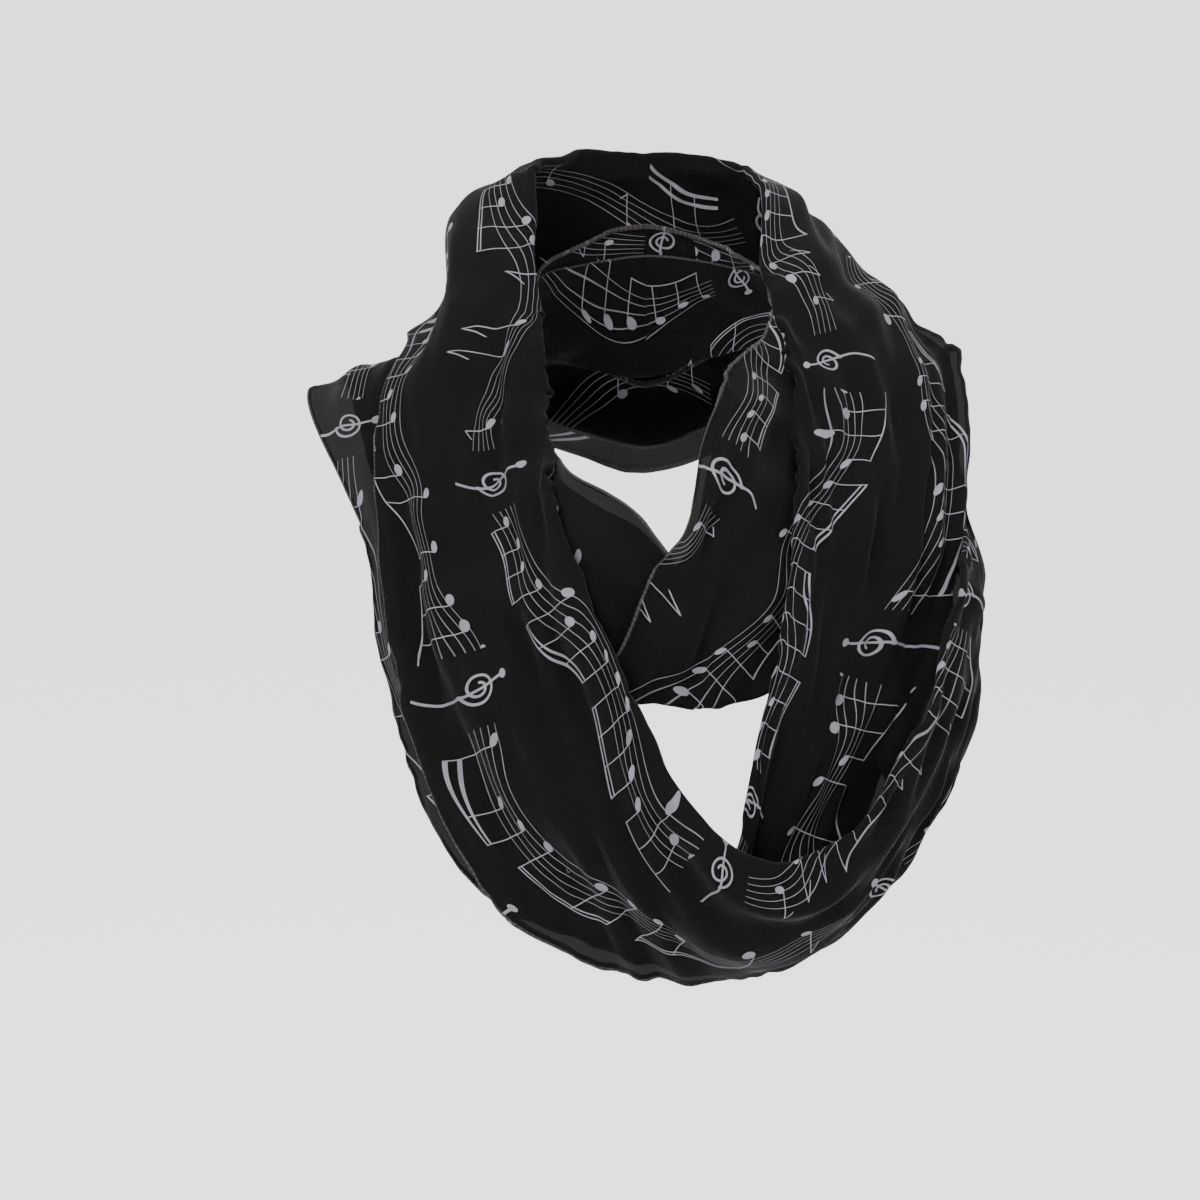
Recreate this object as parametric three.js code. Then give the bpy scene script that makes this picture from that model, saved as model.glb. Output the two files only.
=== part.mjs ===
// Infinity scarf of thin sheer voile, worn round the neck and hanging in a cowl on the chest.
// One long panel is joined end to end, and the closed band is wound round the neck twice. The outer
// turn is bunched into two folds, a high one that stands at the neck and a low one that lies on the
// shoulder. They change places at the foot of the cowl, so one path that goes round twice follows
// both. The inner turn goes round once, close to the neck.
// Units are millimetres and degrees. +Z is up and the wearer faces -Y. The origin is on the axis of
// the neck, where the cloth rests at the neck base. Angles are taken round that axis, from the front
// (0) over the wearer's left side (+X, 90) to the nape (180).

import * as THREE from 'three';

// Driving sizes
const WALL = 1.2; // thickness of the cloth wall
const SEAM_GAP = 0.3; // gap where two stretches of the band meet
const STEP_AROUND = 6; // largest angle between two sections of a wall
const OUTER_STRIPS = 16; // strips across the outer winding
const INNER_STRIPS = 11; // strips across the inner winding
const TUCK_STRIPS = 8; // strips across the small tuck
const TUCK_STEPS = 11; // steps along the small tuck
const SMALL_STEP = 0.01; // step for slopes, in degrees along and in widths across

const CLOTH = { color: 0x1d1e1f, roughness: 0.85, metalness: 0 };

// Names the columns of a table and gives its rows as objects
function table(columns, rows) {
  return rows.map((row) => Object.fromEntries(columns.map((name, i) => [name, row[i]])));
}

const SECTION_COLUMNS = ['turned', 'topOut', 'topUp', 'lowOut', 'lowUp', 'arch'];
const FOLD_COLUMNS = ['from', 'to', 'startPlace', 'endPlace', 'breadth', 'height'];

// Sections of the outer winding. turned counts the angle on through both turns. Each section lies in
// the upright plane at that angle: its top edge and low edge are given by their distance out from the
// neck axis and their height, and arch is how far the cloth bellies out between them.
const outerSections = table(SECTION_COLUMNS, [
  [-120, 64, 87, 120, 3, 10],
  [-105, 58, 65, 118, 7, 8],
  [-90, 55, 44, 117, 6, 7],
  [-75, 55, 25, 134, -24, 10],
  [-60, 58, 8, 144, -95, 13],
  [-45, 71, -18, 151, -172, 14],
  [-30, 93, -45, 147, -231, 14],
  [-15, 119, -92, 135, -257, 13],
  [0, 145, -153, 133, -267, 11],
  [15, 167, -202, 131, -271, 9],
  [30, 177, -195, 139, -263, 9],
  [45, 178, -141, 152, -235, 9],
  [60, 170, -84, 168, -179, 7],
  [67, 166, -76, 165, -136, 5],
  [75, 149, -62, 162, -93, 4],
  [90, 122, -24, 144, -36, 4],
  [105, 112, 0, 141, -30, 5],
  [120, 108, 8, 137, -32, 6],
  [135, 123, 4, 134, -44, 7],
  [150, 115, 26, 127, -58, 8],
  [180, 97, 38, 108, -78, 8],
  [210, 109, 27, 119, -60, 8],
  [225, 119, -5, 126, -48, 7],
  [240, 104, -7, 132, -28, 6],
  [255, 99, -3, 145, -20, 5],
  [270, 100, -5, 163, -19, 5],
  [285, 106, -27, 150, -54, 5],
  [294, 104, -47, 144, -86, 5],
  [300, 103, -62, 149, -117, 5],
  [315, 111, -106, 147, -198, 6],
  [330, 121, -151, 138, -236, 5],
  [345, 126, -192, 126, -250, 3],
  [360, 131, -212, 126, -255, 3],
  [375, 145, -208, 124, -256, 3],
  [382, 142, -145, 131, -245, 4],
  [390, 130, -95, 143, -240, 6],
  [405, 98, -34, 154, -190, 8],
  [420, 79, 5, 158, -118, 8],
  [435, 63, 25, 154, -38, 9],
  [450, 58, 41, 146, 0, 9],
  [465, 60, 57, 129, 18, 10],
  [484, 67, 79, 122, 20, 12],
  [510, 70, 89, 107, -4, 10],
  [540, 70, 90, 90, -30, 8],
  [570, 68, 91, 105, -8, 9],
]);

// Sections of the inner winding
const innerSections = table(SECTION_COLUMNS, [
  [-180, 66, 55, 76, -22, 4],
  [-150, 64, 48, 76, -14, 3],
  [-120, 62, 35, 82, -5, 3],
  [-90, 61, 12, 88, -10, 3],
  [-75, 62, 0, 90, -28, 3],
  [-60, 66, -22, 92, -58, 3],
  [-45, 78, -55, 98, -95, 3],
  [-30, 100, -92, 109, -133, 2],
  [-17, 116, -134, 113, -145, 1],
  [-7, 118, -116, 114, -141, 1],
  [1, 112, -78, 114, -140, 4],
  [9, 104, -60, 116, -141, 6],
  [16, 86, -25, 118, -141, 8],
  [30, 72, 2, 122, -129, 8],
  [45, 64, 11, 115, -97, 6],
  [60, 62, 15, 108, -54, 5],
  [75, 61, 25, 102, -32, 4],
  [90, 60, 29, 95, -17, 4],
  [105, 61, 34, 88, -8, 4],
  [120, 62, 40, 82, 0, 4],
  [150, 64, 48, 75, -8, 4],
]);

// Sections of the small tuck that stands between the inner winding and the high fold
const tuckSections = table(SECTION_COLUMNS, [
  [-50, 66, -20, 72, -40, 1],
  [-38, 73, -34, 81, -61, 3],
  [-25, 88, -39, 97, -98, 5],
  [-12, 98, -46, 108, -118, 5],
  [-3, 100, -56, 108, -116, 3],
  [5, 108.5, -74, 111, -99, 1],
]);

// Long soft folds that run with the outer winding. startPlace and endPlace say where a fold lies
// across the cloth at its two ends, 0 at the top edge and 1 at the low edge.
const outerFolds = table(FOLD_COLUMNS, [
  [-160, -62, 0.42, 0.3, 0.24, 16],
  [-140, -60, 0.82, 0.72, 0.16, -8],
  [-110, -20, 0.16, 0.12, 0.1, 4],
  [-135, 20, 0.36, 0.3, 0.12, -4],
  [-110, 60, 0.58, 0.55, 0.13, 5],
  [-95, 5, 0.8, 0.78, 0.1, -4],
  [-20, 75, 0.2, 0.3, 0.12, 4],
  [10, 110, 0.82, 0.75, 0.1, 3],
  [40, 150, 0.45, 0.5, 0.14, -3],
  [96, 205, 0.2, 0.28, 0.11, 5],
  [120, 250, 0.7, 0.62, 0.12, 6],
  [104, 190, 0.48, 0.42, 0.1, -4.5],
  [170, 275, 0.4, 0.36, 0.11, -5],
  [150, 262, 0.88, 0.82, 0.08, -4],
  [235, 320, 0.75, 0.7, 0.1, 3],
  [265, 345, 0.5, 0.55, 0.12, -3],
  [380, 460, 0.72, 0.68, 0.08, 4],
  [392, 500, 0.86, 0.84, 0.07, -4],
  [385, 470, 0.3, 0.4, 0.14, 4],
  [395, 520, 0.52, 0.5, 0.12, -3],
  [440, 560, 0.2, 0.25, 0.11, 4.5],
  [478, 590, 0.66, 0.7, 0.11, 5],
  [500, 612, 0.44, 0.47, 0.1, -5],
  [530, 620, 0.24, 0.3, 0.09, 3.5],
]);

// Folds of the inner winding, which fan out from the neck over the front
const innerFolds = table(FOLD_COLUMNS, [
  [-170, -60, 0.4, 0.5, 0.2, 2],
  [-8, 60, 0.22, 0.3, 0.14, 3],
  [0, 75, 0.5, 0.5, 0.14, -3],
  [5, 90, 0.72, 0.72, 0.12, 3],
  [60, 170, 0.45, 0.4, 0.2, 2],
]);

const tuckFolds = table(FOLD_COLUMNS, [
  [-36, 0, 0.3, 0.3, 0.18, 2.5],
  [-30, 2, 0.62, 0.6, 0.16, -2.5],
]);

const outerWinding = { sections: outerSections, folds: outerFolds, period: 720, strips: OUTER_STRIPS };
const innerWinding = { sections: innerSections, folds: innerFolds, period: 360, strips: INNER_STRIPS };
const tuckFold = { sections: tuckSections, folds: tuckFolds, period: 0, strips: TUCK_STRIPS };

// The stretches that show, each from one angle along its winding to another
const stretches = [
  { name: 'high_fold_right', winding: outerWinding, from: -120, to: -30 },
  { name: 'cowl_front', winding: outerWinding, from: -30, to: 48 },
  { name: 'low_fold_left', winding: outerWinding, from: 48, to: 126 },
  { name: 'nape_low', winding: outerWinding, from: 126, to: 252 },
  { name: 'low_fold_right', winding: outerWinding, from: 252, to: 345 },
  { name: 'cowl_under', winding: outerWinding, from: 345, to: 390 },
  { name: 'high_fold_left', winding: outerWinding, from: 390, to: 484 },
  { name: 'nape_high', winding: outerWinding, from: 484, to: 600 },
  { name: 'inner_front', winding: innerWinding, from: -30, to: 90 },
  { name: 'inner_nape', winding: innerWinding, from: 90, to: 210 },
  { name: 'inner_right', winding: innerWinding, from: -150, to: -30 },
  { name: 'inner_tuck', winding: tuckFold, from: -50, to: 5 },
];

// Brings an angle into the range of a winding that closes on itself
function wrapped(winding, turned) {
  if (winding.period === 0) return turned;
  const start = winding.sections[0].turned;
  return start + THREE.MathUtils.euclideanModulo(turned - start, winding.period);
}

// The section row at an index, counted on past either end of the table
function sectionRow(winding, index) {
  const { sections, period } = winding;
  const count = sections.length;
  if (period === 0) return sections[THREE.MathUtils.clamp(index, 0, count - 1)];
  const turns = Math.floor(index / count);
  const row = sections[index - turns * count];
  return { ...row, turned: row.turned + turns * period };
}

// The slope of a column at a row, from its two neighbours
function slopeAt(winding, index, column) {
  const before = sectionRow(winding, index - 1);
  const after = sectionRow(winding, index + 1);
  return (after[column] - before[column]) / (after.turned - before.turned);
}

// The smooth section between two rows of the table
function sectionAt(winding, turned) {
  const angle = wrapped(winding, turned);
  const { sections, period } = winding;
  let index = sections.findLastIndex((row) => row.turned <= angle);
  index = Math.max(index, 0);
  if (period === 0) index = Math.min(index, sections.length - 2);
  const a = sectionRow(winding, index);
  const b = sectionRow(winding, index + 1);
  const span = b.turned - a.turned;
  const t = (angle - a.turned) / span;
  const section = {};
  for (const column of SECTION_COLUMNS.slice(1)) {
    const rise = t * t * (3 - 2 * t);
    const leave = t * (1 - t) * (1 - t) * span * slopeAt(winding, index, column);
    const arrive = t * t * (t - 1) * span * slopeAt(winding, index + 1, column);
    section[column] = a[column] + (b[column] - a[column]) * rise + leave + arrive;
  }
  return section;
}

// How far the folds lift the cloth at a place across it
function foldHeight(winding, turned, across) {
  let height = 0;
  for (const fold of winding.folds) {
    const past = THREE.MathUtils.euclideanModulo(turned - fold.from, winding.period || 360);
    const along = past / (fold.to - fold.from);
    if (along >= 1) continue;
    const place = THREE.MathUtils.lerp(fold.startPlace, fold.endPlace, along);
    const beside = (across - place) / fold.breadth;
    height += fold.height * Math.sin(Math.PI * along) ** 2 * Math.exp(-beside * beside);
  }
  return height;
}

// A point of the cloth's middle surface
function clothPoint(winding, turned, across) {
  const { topOut, topUp, lowOut, lowUp, arch } = sectionAt(winding, turned);
  const width = Math.hypot(lowOut - topOut, lowUp - topUp);
  const lift = arch * Math.sin(Math.PI * across) + foldHeight(winding, turned, across);
  const out = THREE.MathUtils.lerp(topOut, lowOut, across) + (lift * (topUp - lowUp)) / width;
  const up = THREE.MathUtils.lerp(topUp, lowUp, across) + (lift * (lowOut - topOut)) / width;
  const angle = THREE.MathUtils.degToRad(turned);
  return new THREE.Vector3(out * Math.sin(angle), -out * Math.cos(angle), up);
}

// The direction straight out of the cloth, away from the neck
function clothNormal(winding, turned, across) {
  const along = clothPoint(winding, turned + SMALL_STEP, across);
  along.sub(clothPoint(winding, turned - SMALL_STEP, across));
  const down = clothPoint(winding, turned, across + SMALL_STEP);
  down.sub(clothPoint(winding, turned, across - SMALL_STEP));
  return down.cross(along).normalize();
}

// The angle that half a seam gap takes up at the middle of the cloth
function halfGapAngle(winding, turned) {
  const middle = clothPoint(winding, turned, 0.5);
  return THREE.MathUtils.radToDeg(SEAM_GAP / 2 / Math.hypot(middle.x, middle.y));
}

// Closes a grid of outer points and a grid of inner points into one thin wall
function wallGeometry(outside, inside) {
  const rows = outside.length;
  const columns = outside[0].length;
  const points = [...outside.flat(), ...inside.flat()];
  const outer = (i, j) => i * columns + j;
  const inner = (i, j) => rows * columns + i * columns + j;
  const index = [];
  const quad = (a, b, c, d) => index.push(a, b, c, a, c, d);
  for (let i = 0; i < rows - 1; i += 1) {
    for (let j = 0; j < columns - 1; j += 1) {
      quad(outer(i, j), outer(i, j + 1), outer(i + 1, j + 1), outer(i + 1, j));
      quad(inner(i, j), inner(i + 1, j), inner(i + 1, j + 1), inner(i, j + 1));
    }
    quad(outer(i, 0), outer(i + 1, 0), inner(i + 1, 0), inner(i, 0));
    quad(outer(i + 1, columns - 1), outer(i, columns - 1), inner(i, columns - 1), inner(i + 1, columns - 1));
  }
  for (let j = 0; j < columns - 1; j += 1) {
    quad(outer(0, j + 1), outer(0, j), inner(0, j), inner(0, j + 1));
    quad(outer(rows - 1, j), outer(rows - 1, j + 1), inner(rows - 1, j + 1), inner(rows - 1, j));
  }
  const geometry = new THREE.BufferGeometry().setFromPoints(points);
  geometry.setIndex(index);
  geometry.computeVertexNormals();
  return geometry;
}

// One stretch of the band as a closed wall
function stretchMesh({ name, winding, from, to }) {
  const start = from + halfGapAngle(winding, from);
  const end = to - halfGapAngle(winding, to);
  const steps = winding === tuckFold ? TUCK_STEPS : Math.ceil((to - from) / STEP_AROUND);
  const outside = [];
  const inside = [];
  for (let i = 0; i <= steps; i += 1) {
    const turned = THREE.MathUtils.lerp(start, end, i / steps);
    const outerRow = [];
    const innerRow = [];
    for (let j = 0; j <= winding.strips; j += 1) {
      const across = j / winding.strips;
      const point = clothPoint(winding, turned, across);
      const normal = clothNormal(winding, turned, across);
      outerRow.push(point.clone().addScaledVector(normal, WALL / 2));
      innerRow.push(point.clone().addScaledVector(normal, -WALL / 2));
    }
    outside.push(outerRow);
    inside.push(innerRow);
  }
  const mesh = new THREE.Mesh(wallGeometry(outside, inside), new THREE.MeshStandardMaterial(CLOTH));
  mesh.name = name;
  return mesh;
}

const scarf = new THREE.Group();
scarf.name = 'infinity_scarf';
for (const stretch of stretches) scarf.add(stretchMesh(stretch));

export default scarf;
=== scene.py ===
# Infinity scarf of sheer black voile, wound round the neck twice, with a generic print of music staves.
# Sizes are millimetres and angles degrees in the tables, as a pattern cutter would note them. Angles go
# round the neck from the front (0) over the wearer's left (+X, 90) to the nape (180).

import math

import bpy
import numpy as np
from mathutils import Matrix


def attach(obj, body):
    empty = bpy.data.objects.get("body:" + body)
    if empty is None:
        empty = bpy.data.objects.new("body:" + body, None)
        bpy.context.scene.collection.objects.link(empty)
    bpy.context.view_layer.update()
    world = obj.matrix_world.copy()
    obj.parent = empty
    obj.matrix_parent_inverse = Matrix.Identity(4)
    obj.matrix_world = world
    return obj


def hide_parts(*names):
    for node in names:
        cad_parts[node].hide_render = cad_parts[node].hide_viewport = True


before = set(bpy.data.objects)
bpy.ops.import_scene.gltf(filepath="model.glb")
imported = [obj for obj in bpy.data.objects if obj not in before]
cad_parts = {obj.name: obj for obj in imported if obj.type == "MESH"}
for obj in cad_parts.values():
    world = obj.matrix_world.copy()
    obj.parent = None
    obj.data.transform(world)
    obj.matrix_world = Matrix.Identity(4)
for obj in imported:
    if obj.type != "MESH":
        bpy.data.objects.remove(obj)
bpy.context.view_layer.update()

MM = 0.001

# Sections of the cloth. turned is the angle, counted on through both rounds of the outer turn. The top
# edge and the low edge are given by their distance out from the neck axis and their height, and arch is
# how far the cloth bellies out between them.
SECTION_COLUMNS = ("turned", "top_out", "top_up", "low_out", "low_up", "arch")

OUTER_SECTIONS = (
    (-120, 64, 87, 120, 3, 10),
    (-105, 58, 65, 118, 7, 8),
    (-90, 55, 44, 117, 6, 7),
    (-75, 55, 25, 134, -24, 10),
    (-60, 58, 8, 144, -95, 13),
    (-45, 71, -18, 151, -172, 14),
    (-30, 93, -45, 147, -231, 14),
    (-15, 119, -92, 135, -257, 13),
    (0, 145, -153, 133, -267, 11),
    (15, 167, -202, 131, -271, 9),
    (30, 177, -195, 139, -263, 9),
    (45, 178, -141, 152, -235, 9),
    (60, 168, -82, 168, -179, 7),
    (67, 162, -74, 165, -136, 5),
    (75, 146, -60, 162, -93, 4),
    (90, 122, -24, 144, -36, 4),
    (105, 112, 0, 141, -30, 5),
    (120, 108, 8, 137, -32, 6),
    (135, 123, 4, 134, -44, 7),
    (150, 115, 26, 127, -58, 8),
    (180, 97, 38, 108, -78, 8),
    (210, 109, 27, 119, -60, 8),
    (225, 119, -5, 126, -48, 7),
    (240, 104, -7, 132, -28, 6),
    (255, 99, -3, 145, -20, 5),
    (270, 100, -5, 163, -19, 5),
    (285, 106, -27, 150, -54, 5),
    (294, 104, -47, 144, -86, 5),
    (300, 103, -62, 149, -117, 5),
    (315, 111, -106, 147, -198, 6),
    (330, 121, -151, 138, -236, 5),
    (345, 126, -192, 126, -250, 3),
    (360, 131, -212, 126, -255, 3),
    (375, 145, -208, 124, -256, 3),
    (382, 142, -145, 131, -245, 4),
    (390, 130, -95, 143, -240, 6),
    (405, 98, -34, 154, -190, 8),
    (420, 79, 5, 160, -118, 8),
    (435, 63, 25, 157, -38, 9),
    (450, 58, 41, 146, 0, 9),
    (465, 60, 57, 129, 18, 10),
    (484, 67, 79, 122, 20, 12),
    (510, 70, 89, 107, -4, 10),
    (540, 70, 90, 90, -30, 8),
    (570, 68, 91, 105, -8, 9),
)

INNER_SECTIONS = (
    (-180, 66, 55, 76, -22, 4),
    (-150, 64, 48, 76, -14, 3),
    (-120, 62, 35, 82, -5, 3),
    (-90, 61, 12, 88, -10, 3),
    (-75, 62, 0, 90, -28, 3),
    (-60, 66, -22, 92, -58, 3),
    (-45, 78, -55, 98, -95, 3),
    (-30, 100, -92, 109, -133, 2),
    (-17, 116, -134, 113, -145, 1),
    (-7, 118, -116, 114, -141, 1),
    (1, 112, -78, 114, -140, 4),
    (9, 104, -60, 116, -141, 6),
    (16, 86, -25, 118, -141, 8),
    (30, 72, 2, 122, -129, 8),
    (45, 64, 11, 115, -97, 6),
    (60, 62, 15, 108, -54, 5),
    (75, 61, 25, 102, -32, 4),
    (90, 60, 29, 95, -17, 4),
    (105, 61, 34, 88, -8, 4),
    (120, 62, 40, 82, 0, 4),
    (150, 64, 48, 75, -8, 4),
)

TUCK_SECTIONS = (
    (-50, 66, -20, 72, -40, 1),
    (-38, 73, -34, 81, -61, 3),
    (-25, 88, -39, 97, -98, 5),
    (-12, 98, -46, 108, -118, 5),
    (-3, 100, -56, 108, -116, 3),
    (5, 108.5, -74, 111, -99, 1),
)

# Long soft folds that run with the cloth. The places say where a fold lies across the cloth at its two
# ends, 0 at the top edge and 1 at the low edge, and breadth is a share of the width.
FOLD_COLUMNS = ("start", "end", "start_place", "end_place", "breadth", "height")

OUTER_FOLDS = (
    (-160, -62, 0.42, 0.3, 0.24, 16),
    (-140, -60, 0.82, 0.72, 0.16, -8),
    (-110, -20, 0.16, 0.12, 0.1, 4),
    (-135, 20, 0.36, 0.3, 0.12, -4),
    (-110, 60, 0.58, 0.55, 0.13, 5),
    (-95, 5, 0.8, 0.78, 0.1, -4),
    (-20, 75, 0.2, 0.3, 0.12, 4),
    (10, 110, 0.82, 0.75, 0.1, 3),
    (40, 150, 0.45, 0.5, 0.14, -3),
    (96, 205, 0.2, 0.28, 0.11, 5),
    (120, 250, 0.7, 0.62, 0.12, 6),
    (104, 190, 0.48, 0.42, 0.1, -4.5),
    (170, 275, 0.4, 0.36, 0.11, -5),
    (150, 262, 0.88, 0.82, 0.08, -4),
    (235, 320, 0.75, 0.7, 0.1, 3),
    (265, 345, 0.5, 0.55, 0.12, -3),
    (380, 460, 0.72, 0.68, 0.08, 4),
    (392, 500, 0.86, 0.84, 0.07, -4),
    (385, 470, 0.3, 0.4, 0.14, 4),
    (395, 520, 0.52, 0.5, 0.12, -3),
    (440, 560, 0.2, 0.25, 0.11, 4.5),
    (478, 590, 0.66, 0.7, 0.11, 5),
    (500, 612, 0.44, 0.47, 0.1, -5),
    (530, 620, 0.24, 0.3, 0.09, 3.5),
)

INNER_FOLDS = (
    (-170, -60, 0.4, 0.5, 0.2, 2),
    (-8, 60, 0.22, 0.3, 0.14, 3),
    (0, 75, 0.5, 0.5, 0.14, -3),
    (5, 90, 0.72, 0.72, 0.12, 3),
    (60, 170, 0.45, 0.4, 0.2, 2),
)

TUCK_FOLDS = (
    (-36, 0, 0.3, 0.3, 0.18, 2.5),
    (-30, 2, 0.62, 0.6, 0.16, -2.5),
)

# Creases, placed one by one. Their breadth and height are millimetres.
OUTER_CREASES = (
    (-150, -72, 0.10, 0.06, 4.0, 1.6),
    (-128, -38, 0.05, 0.04, 3.0, -1.4),
    (-118, -60, 0.62, 0.70, 6.0, 2.2),
    (-105, -15, 0.22, 0.20, 6.0, -2.0),
    (-95, 10, 0.32, 0.27, 7.0, 1.6),
    (-84, -44, 0.86, 0.92, 5.0, 1.8),
    (-70, 0, 0.48, 0.44, 8.0, -2.2),
    (-60, 30, 0.68, 0.62, 9.0, 2.0),
    (-50, 12, 0.90, 0.88, 5.0, -1.6),
    (-34, 4, 0.06, 0.10, 4.0, 1.8),
    (-30, 45, 0.15, 0.21, 5.0, 1.8),
    (-10, 60, 0.38, 0.46, 8.0, -2.2),
    (0, 55, 0.74, 0.66, 8.0, 2.0),
    (10, 40, 0.90, 0.93, 5.0, -1.8),
    (12, 70, 0.08, 0.13, 4.0, -1.6),
    (20, 85, 0.55, 0.50, 6.0, 2.0),
    (44, 112, 0.22, 0.28, 4.0, 2.0),
    (50, 118, 0.40, 0.43, 4.0, -1.8),
    (54, 108, 0.58, 0.60, 4.0, 2.0),
    (47, 104, 0.78, 0.76, 3.5, -1.6),
    (88, 160, 0.66, 0.60, 6.0, 2.4),
    (115, 232, 0.30, 0.34, 8.0, 2.4),
    (130, 246, 0.52, 0.50, 9.0, -2.8),
    (122, 228, 0.80, 0.76, 8.0, 2.4),
    (150, 214, 0.14, 0.16, 6.0, -2.0),
    (168, 262, 0.90, 0.88, 7.0, -2.0),
    (238, 300, 0.28, 0.36, 6.0, 1.8),
    (250, 330, 0.62, 0.60, 6.0, -1.8),
    (260, 318, 0.80, 0.78, 5.0, 1.8),
    (263, 290, 0.48, 0.54, 5.0, -2.2),
    (285, 345, 0.40, 0.42, 6.0, -1.6),
    (318, 372, 0.70, 0.60, 5.0, 1.4),
    (370, 432, 0.10, 0.16, 4.0, 1.8),
    (378, 455, 0.24, 0.30, 6.0, -2.0),
    (385, 470, 0.44, 0.46, 8.0, 2.2),
    (392, 480, 0.62, 0.60, 7.0, -2.2),
    (386, 474, 0.74, 0.78, 3.5, -3.4),
    (390, 470, 0.82, 0.85, 3.5, 3.6),
    (394, 476, 0.90, 0.92, 3.0, -3.4),
    (400, 468, 0.96, 0.97, 2.5, 2.6),
    (425, 520, 0.10, 0.12, 5.0, 2.0),
    (440, 500, 0.36, 0.34, 6.0, -2.0),
    (468, 590, 0.30, 0.32, 8.0, -2.4),
    (482, 596, 0.52, 0.50, 8.0, 2.4),
    (492, 604, 0.76, 0.72, 7.0, -2.4),
    (505, 590, 0.12, 0.13, 5.0, 1.8),
    (520, 572, 0.90, 0.88, 6.0, 2.0),
)

INNER_CREASES = (
    (-165, -80, 0.25, 0.30, 6.0, 1.4),
    (-150, -70, 0.70, 0.66, 6.0, -1.4),
    (-14, 12, 0.35, 0.45, 5.0, 1.4),
    (-6, 34, 0.10, 0.20, 4.0, 2.0),
    (0, 46, 0.26, 0.36, 5.0, -2.2),
    (2, 58, 0.40, 0.46, 6.0, 2.2),
    (-2, 50, 0.58, 0.62, 6.0, -2.0),
    (4, 66, 0.74, 0.76, 5.0, 1.8),
    (8, 52, 0.90, 0.88, 5.0, -1.4),
    (14, 44, 0.06, 0.08, 3.5, -1.6),
    (40, 120, 0.30, 0.30, 6.0, 1.6),
    (70, 170, 0.65, 0.60, 7.0, -1.8),
)

TUCK_CREASES = (
    (-34, -4, 0.18, 0.22, 3.5, 1.4),
    (-30, 2, 0.48, 0.44, 4.5, -1.6),
    (-26, 3, 0.78, 0.74, 4.0, 1.4),
)

# How the two edges are finished along a turn: the radius of the turned edge, how much of the width lies
# folded back behind it, and how high its small ripples stand. A narrow one is the rolled hem and a wide
# one is a soft fold, which makes the cloth double.
EDGE_COLUMNS = (
    "turned", "top_radius", "top_back", "top_ripple", "low_radius", "low_back", "low_ripple",
)
HEM = (0.6, 0.02)

OUTER_EDGES = (
    (-120, 2.0, 0.80, 0.7, *HEM, 0.4),
    (-105, 2.2, 0.93, 0.6, *HEM, 0.4),
    (-90, 2.0, 0.95, 0.5, *HEM, 0.4),
    (-75, 2.0, 0.94, 0.6, *HEM, 0.4),
    (-60, 2.2, 0.93, 0.8, *HEM, 0.8),
    (-45, 2.4, 0.93, 0.9, *HEM, 1.0),
    (-20, 2.6, 0.94, 0.6, *HEM, 0.9),
    (15, 2.6, 0.94, 0.4, *HEM, 0.8),
    (50, 1.8, 0.86, 0.6, *HEM, 0.8),
    (70, 1.2, 0.72, 1.0, *HEM, 0.9),
    (90, 1.2, 0.68, 0.8, *HEM, 0.8),
    (120, 1.6, 0.80, 0.6, *HEM, 0.6),
    (180, 2.2, 0.90, 0.6, *HEM, 0.6),
    (225, 1.6, 0.86, 0.6, *HEM, 0.6),
    (255, 1.2, 0.74, 0.5, *HEM, 0.8),
    (280, 1.2, 0.66, 0.5, *HEM, 1.0),
    (310, 1.2, 0.68, 0.5, *HEM, 1.0),
    (345, 1.2, 0.80, 0.4, *HEM, 0.5),
    (375, 1.4, 0.88, 0.4, *HEM, 0.4),
    (400, 2.4, 0.94, 0.4, *HEM, 1.0),
    (425, 2.4, 0.94, 0.5, *HEM, 1.8),
    (450, 2.4, 0.94, 0.6, *HEM, 2.2),
    (470, 2.0, 0.92, 0.8, *HEM, 1.6),
    (518, 1.6, 0.90, 0.9, *HEM, 0.8),
    (558, 1.6, 0.86, 0.9, *HEM, 0.6),
)

INNER_EDGES = (
    (-180, *HEM, 0.4, 1.0, 0.80, 0.4),
    (-60, *HEM, 0.8, 1.0, 0.90, 0.3),
    (-30, *HEM, 1.2, 1.4, 0.88, 0.3),
    (0, *HEM, 1.4, 1.6, 0.88, 0.3),
    (20, *HEM, 1.2, 1.8, 0.90, 0.4),
    (60, *HEM, 0.8, 1.6, 0.82, 0.4),
    (120, *HEM, 0.5, 1.2, 0.80, 0.4),
)

TUCK_EDGES = (
    (-50, *HEM, 0.3, 0.8, 0.9, 0.3),
    (-25, *HEM, 0.6, 1.0, 0.9, 0.3),
    (5, *HEM, 0.5, 0.8, 0.9, 0.3),
)

# The cloth between the two folds at the left shoulder: where it leaves the high fold and where it meets
# the low fold, as places across each. Its folds are ridges across, millimetres along to each, and height.
LINK_COLUMNS = ("turned", "high_place", "low_place")
LINK_PLACES = (
    (404, 0.80, 0.66),
    (420, 0.86, 0.58),
    (435, 0.88, 0.42),
    (450, 0.86, 0.40),
    (500, 0.84, 0.40),
)
LINK_START = 404
LINK_END = 500
LINK_HIGH_DEPTH = 2.6
LINK_LOW_DEPTH = 3.4
LINK_FOLDS = ((2.3, 190.0, 1.6), (-1.4, 120.0, 0.9))
LINK_COLUMNS_ACROSS = 24

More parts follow.
